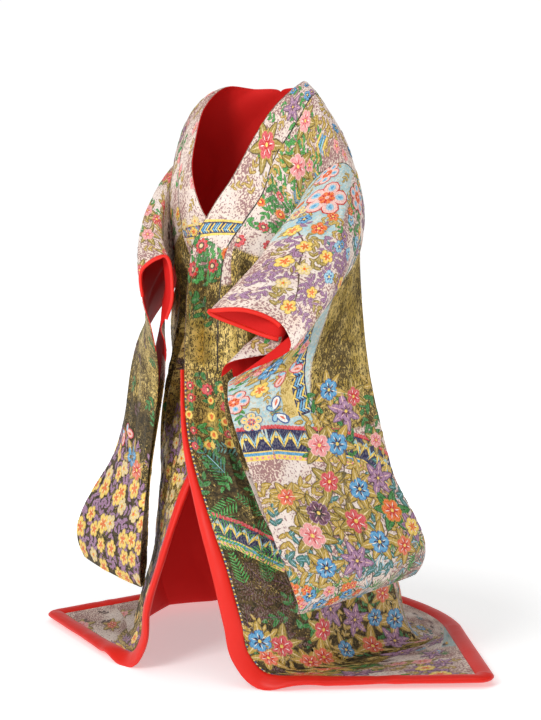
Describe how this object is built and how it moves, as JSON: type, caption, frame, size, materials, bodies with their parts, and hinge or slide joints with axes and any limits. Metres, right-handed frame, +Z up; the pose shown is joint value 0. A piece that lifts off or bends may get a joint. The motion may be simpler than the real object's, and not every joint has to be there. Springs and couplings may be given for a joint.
{
  "type": "uchikake",
  "caption": "Trailing bridal over-robe in its hollow worn form: collar band, body panels, overlap strips, long hanging sleeves, and padded rolls at the cuffs and hem.",
  "frame": {"origin": "on the wearer's midline between the two shoulders that hold the robe up, 1.36 m above the floor that its hem lies on", "axes": "+Z up, the wearer faces -Y, the wearer's left is +X"},
  "size_m": [1.264, 0.9664, 1.4071],
  "materials": {
    "brocade": "figured silk brocade with metallic threads",
    "red_silk": "plain scarlet silk, padded, with a soft sheen"
  },
  "bodies": {
    "root": {"collar": "brocade", "body_left": "brocade", "body_right": "brocade", "okumi_left": "brocade", "okumi_right": "brocade", "sleeve_left": "brocade", "sleeve_right": "brocade", "hem_roll_left": "red_silk", "hem_roll_right": "red_silk", "cuff_roll_left": "red_silk", "cuff_roll_right": "red_silk"}
  },
  "joints": []
}
